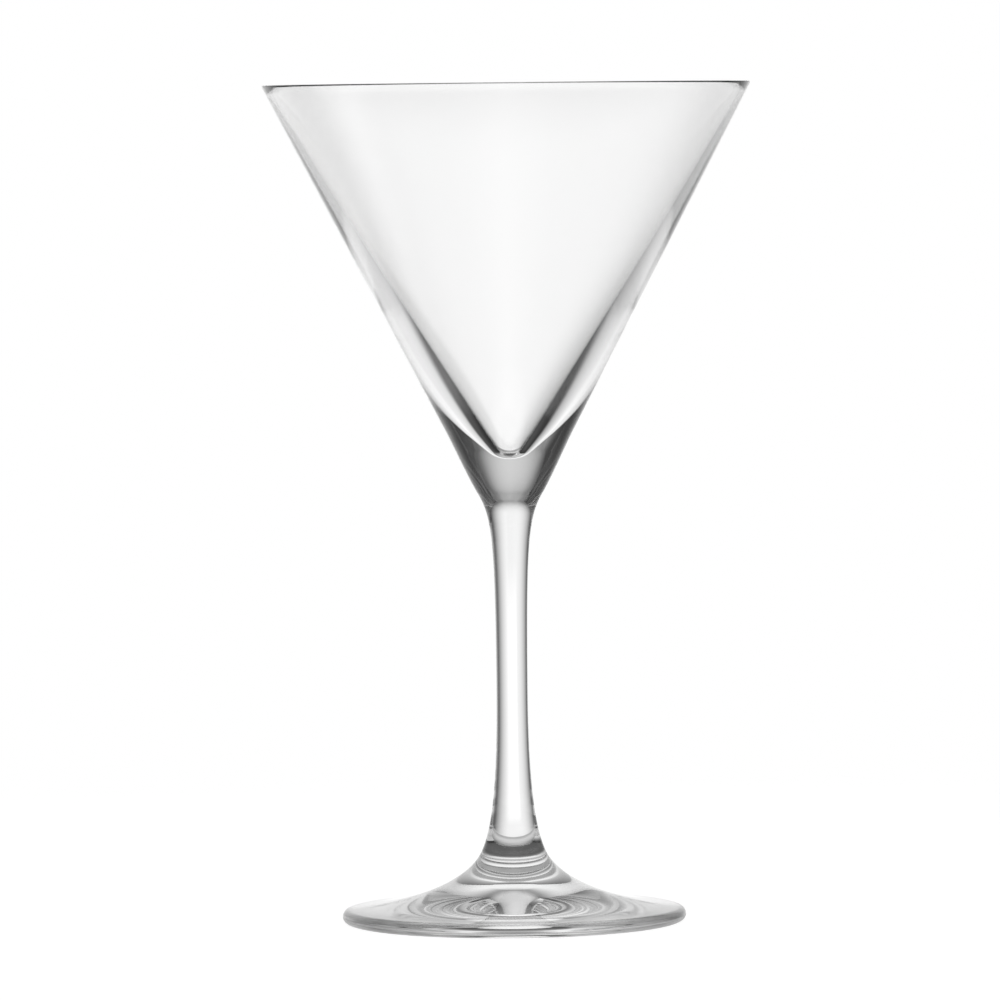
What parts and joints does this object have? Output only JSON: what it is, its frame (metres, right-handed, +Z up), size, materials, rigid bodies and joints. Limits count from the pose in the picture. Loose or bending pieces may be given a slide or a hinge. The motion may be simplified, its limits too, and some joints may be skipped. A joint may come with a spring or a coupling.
{
  "type": "martini glass",
  "caption": "Clear stemmed cocktail glass: a straight conical bowl with a thick solid base, fused to a slim waisted stem and a round spread foot.",
  "frame": {"origin": "centre of the plane that the foot rests on, on the glass's axis", "axes": "+Z up along the glass's axis, from the foot to the open rim; the glass is round, so X and Y are any two level directions"},
  "size_m": [0.1106, 0.1106, 0.1905],
  "materials": {
    "glass": "clear, colourless, fire-polished"
  },
  "bodies": {
    "root": {"bowl": "glass", "stem": "glass", "foot": "glass"}
  },
  "joints": []
}
